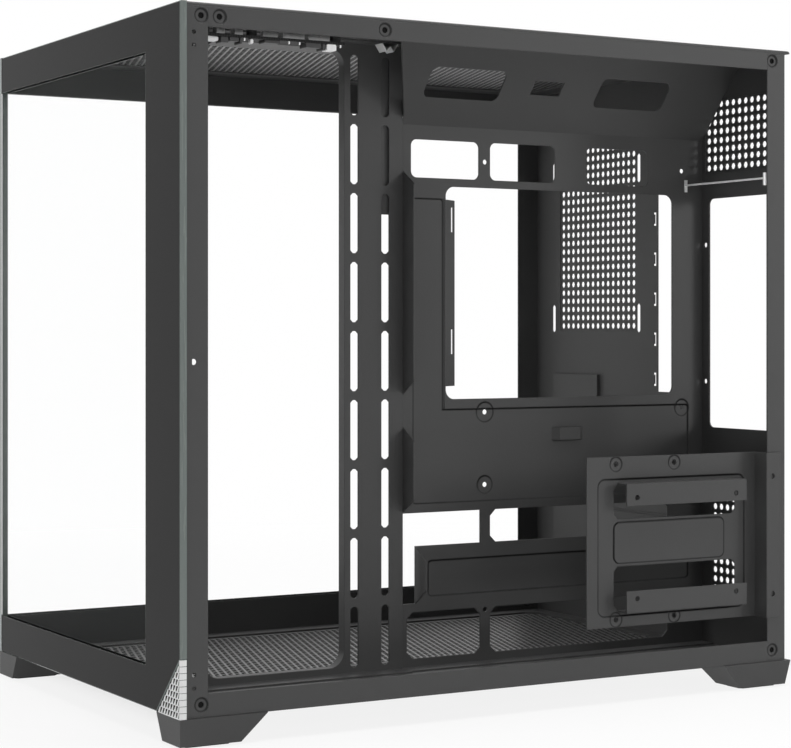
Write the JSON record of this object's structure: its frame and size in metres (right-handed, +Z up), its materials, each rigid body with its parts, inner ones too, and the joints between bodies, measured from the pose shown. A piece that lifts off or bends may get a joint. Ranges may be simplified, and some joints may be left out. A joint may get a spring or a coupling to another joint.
{
  "type": "computer case",
  "caption": "Two-chamber tower case for an ATX board, glass on the front and left, the right panel taken off to show the board wall, fan bracket, drive bracket and rear vents.",
  "frame": {"origin": "on the floor plane under the feet, at the middle of the overall width and length", "axes": "+X towards the open cable side, +Y towards the rear wall, +Z up; the front glass faces -Y"},
  "size_m": [0.288, 0.424, 0.404],
  "materials": {
    "black_steel": "fine matt powder coat",
    "black_mesh": "matt, perforated",
    "tempered_glass": "clear, with dark printed borders",
    "bright_steel": "bare zinc-plated steel",
    "screw_steel": "blackened steel",
    "black_plastic": "fine grained",
    "white_plastic": "smooth",
    "pad_rubber": "soft matt",
    "circuit_board": "solder resist"
  },
  "bodies": {
    "chassis": {"base_frame": "black_steel", "top_frame": "black_steel", "top_panel": "black_steel", "top_mesh": "black_mesh", "bottom_filter_frame": "black_plastic", "bottom_mesh": "black_mesh", "front_right_post": "black_steel", "front_glass": "tempered_glass", "left_glass": "tempered_glass", "corner_trim": "white_plastic", "motherboard_tray": "black_steel", "side_fan_bracket": "black_steel", "rear_panel": "black_steel", "expansion_cover_1": "black_steel", "expansion_cover_2": "black_steel", "expansion_cover_3": "black_steel", "expansion_cover_4": "black_steel", "expansion_cover_5": "black_steel", "expansion_cover_6": "black_steel", "expansion_cover_7": "black_steel", "supply_brace": "bright_steel", "drive_bracket": "black_steel", "foot_front_left": "black_plastic", "foot_front_right": "black_plastic", "foot_rear_left": "black_plastic", "foot_rear_right": "black_plastic", "foot_pad_front_left": "pad_rubber", "foot_pad_front_right": "pad_rubber", "foot_pad_rear_left": "pad_rubber", "foot_pad_rear_right": "pad_rubber", "io_bezel": "black_plastic", "io_board": "circuit_board", "usb_a_port_1": "bright_steel", "usb_a_port_2": "bright_steel", "usb_c_port": "bright_steel", "audio_jack": "black_plastic", "power_switch": "bright_steel", "reset_switch": "bright_steel", "expansion_screws": "screw_steel"},
    "power_button": {"power_button": "black_plastic"},
    "reset_button": {"reset_button": "black_plastic"}
  },
  "joints": [
    {"name": "power_button_press", "type": "slide", "parent": "chassis", "child": "power_button", "axis": [0, 0, -1], "range_m": [0, 0.0012], "stiffness_N_per_m": 500, "springref_m": -0.0006},
    {"name": "reset_button_press", "type": "slide", "parent": "chassis", "child": "reset_button", "axis": [0, 0, -1], "range_m": [0, 0.0012], "stiffness_N_per_m": 400, "springref_m": -0.0005}
  ]
}
